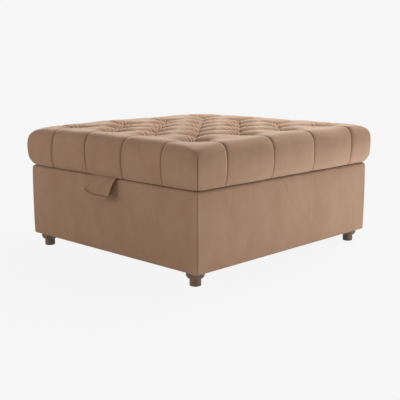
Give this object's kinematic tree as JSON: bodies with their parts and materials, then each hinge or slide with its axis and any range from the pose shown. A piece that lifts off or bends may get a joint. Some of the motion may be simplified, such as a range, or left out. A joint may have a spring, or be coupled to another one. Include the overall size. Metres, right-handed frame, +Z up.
{
  "type": "storage footstool",
  "caption": "Square upholstered storage footstool: a deep-buttoned padded lid, hinged at the back on slotted stays, with a fabric pull tab, over a lined box on short turned feet.",
  "frame": {"origin": "on the floor, midway between the widest points of the whole object, pull tab included", "axes": "+X to the right along the front, +Y from the front with the pull tab to the hinged back, +Z up"},
  "size_m": [0.9102, 0.9915, 0.4521],
  "materials": {
    "cover_fabric": "matte",
    "lining_fabric": "matte",
    "dust_fabric": "matte",
    "foam": "matte",
    "twine": "matte",
    "plywood": "matte",
    "pine": "matte",
    "foot_wood": "satin",
    "zinc_steel": "satin",
    "nylon": "matte",
    "clip_plastic": "matte",
    "bumper_rubber": "matte"
  },
  "bodies": {
    "root": {"front_panel": "plywood", "back_panel": "plywood", "left_panel": "plywood", "right_panel": "plywood", "bottom_board": "plywood", "corner_blocks": "pine", "bottom_battens": "pine", "front_cover": "cover_fabric", "back_cover": "cover_fabric", "left_cover": "cover_fabric", "right_cover": "cover_fabric", "storage_lining": "lining_fabric", "dust_cover": "dust_fabric", "dust_cover_staples": "zinc_steel", "foot_front_left": "foot_wood", "foot_front_right": "foot_wood", "foot_back_left": "foot_wood", "foot_back_right": "foot_wood", "foot_bolts": "zinc_steel", "tee_nuts": "zinc_steel", "foot_glides": "nylon", "hinge_box_leaf_left": "zinc_steel", "hinge_box_leaf_right": "zinc_steel", "hinge_pin_left": "zinc_steel", "hinge_pin_right": "zinc_steel", "hinge_box_screws": "zinc_steel", "stay_rail_left": "zinc_steel", "stay_rail_right": "zinc_steel", "stay_rail_spacers": "zinc_steel", "stay_rail_screws": "zinc_steel"},
    "lid": {"lid_board": "plywood", "lid_foam": "foam", "lid_cushion": "cover_fabric", "top_buttons": "cover_fabric", "button_twines": "twine", "twine_clips": "clip_plastic", "lid_underlining": "lining_fabric", "lid_staples": "zinc_steel", "lid_bumpers": "bumper_rubber", "tab_anchor": "cover_fabric", "hinge_lid_leaf_left": "zinc_steel", "hinge_lid_leaf_right": "zinc_steel", "hinge_lid_screws": "zinc_steel", "stay_bracket_left": "zinc_steel", "stay_bracket_right": "zinc_steel", "stay_bracket_screws": "zinc_steel", "stay_pivot_rivets": "zinc_steel"},
    "stay_arm_left": {"stay_arm_left": "zinc_steel", "stay_slider_left": "zinc_steel"},
    "stay_arm_right": {"stay_arm_right": "zinc_steel", "stay_slider_right": "zinc_steel"},
    "pull_tab": {"pull_tab": "cover_fabric"}
  },
  "joints": [
    {"name": "lid_hinge", "type": "hinge", "parent": "root", "child": "lid", "pos_m": [0, 0.4699, 0.309], "axis": [-1, 0, 0], "range_deg": [0, 70]},
    {"name": "stay_arm_left_turn", "type": "hinge", "parent": "lid", "child": "stay_arm_left", "pos_m": [-0.3995, 0.28175, 0.28256], "axis": [-1, 0, 0], "range_deg": [-140, 0]},
    {"name": "stay_arm_right_turn", "type": "hinge", "parent": "lid", "child": "stay_arm_right", "pos_m": [0.3995, 0.28175, 0.28256], "axis": [-1, 0, 0], "range_deg": [-140, 0]},
    {"name": "pull_tab_swing", "type": "hinge", "parent": "lid", "child": "pull_tab", "pos_m": [0, -0.4481, 0.3098], "axis": [-1, 0, 0], "range_deg": [-20, 55], "stiffness_Nm_per_rad": 0.08}
  ],
  "couplings": [
    {"joint": "stay_arm_left_turn", "follows": "lid_hinge", "ratio": -2},
    {"joint": "stay_arm_right_turn", "follows": "lid_hinge", "ratio": -2}
  ]
}
